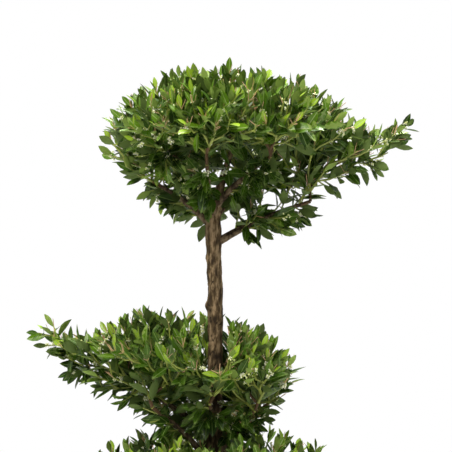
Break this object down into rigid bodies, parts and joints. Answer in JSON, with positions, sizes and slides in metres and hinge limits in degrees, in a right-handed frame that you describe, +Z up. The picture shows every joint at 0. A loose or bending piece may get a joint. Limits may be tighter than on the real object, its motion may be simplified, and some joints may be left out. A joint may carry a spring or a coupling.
{
  "type": "japanese holly tree",
  "caption": "Small evergreen tree with a bare upright trunk and tiers of clipped foliage on short rising boughs.",
  "frame": {"origin": "centre of the flat cut under the trunk, at ground level", "axes": "+Z up along the trunk; +X towards the furthest-reaching bough of the top tier, on the right in the picture; -Y towards the viewer of the picture"},
  "size_m": [0.4243, 0.3129, 0.6812],
  "materials": {
    "trunk_bark": "grey-brown bark with dark lengthwise fissures",
    "bough_bark": "thin brown bark",
    "foliage": "glossy dark green leaves on brown and green twigs"
  },
  "bodies": {
    "root": {"trunk": "trunk_bark", "bough_top_left_low": "bough_bark", "bough_top_left_high": "bough_bark", "bough_top_front": "bough_bark", "bough_top_right_high": "bough_bark", "bough_top_right_low": "bough_bark", "bough_top_back_right": "bough_bark", "bough_top_back_left": "bough_bark", "bough_middle_left_long": "bough_bark", "bough_middle_left_low": "bough_bark", "bough_middle_front": "bough_bark", "bough_middle_right_front": "bough_bark", "bough_middle_right": "bough_bark", "bough_middle_back_right": "bough_bark", "bough_middle_back_left": "bough_bark", "bough_bottom_left": "bough_bark", "bough_bottom_front_left": "bough_bark", "bough_bottom_front_right": "bough_bark", "bough_bottom_right": "bough_bark", "bough_bottom_back_right": "bough_bark", "bough_bottom_back_left": "bough_bark", "leaves_top_left_low": "foliage", "leaves_top_left_high": "foliage", "leaves_top_front": "foliage", "leaves_top_right_high": "foliage", "leaves_top_right_low": "foliage", "leaves_top_back_right": "foliage", "leaves_top_back_left": "foliage", "leaves_middle_left_long": "foliage", "leaves_middle_left_low": "foliage", "leaves_middle_front": "foliage", "leaves_middle_right_front": "foliage", "leaves_middle_right": "foliage", "leaves_middle_back_right": "foliage", "leaves_middle_back_left": "foliage", "leaves_bottom_left": "foliage", "leaves_bottom_front_left": "foliage", "leaves_bottom_front_right": "foliage", "leaves_bottom_right": "foliage", "leaves_bottom_back_right": "foliage", "leaves_bottom_back_left": "foliage", "leaves_top_leader": "foliage"}
  },
  "joints": []
}
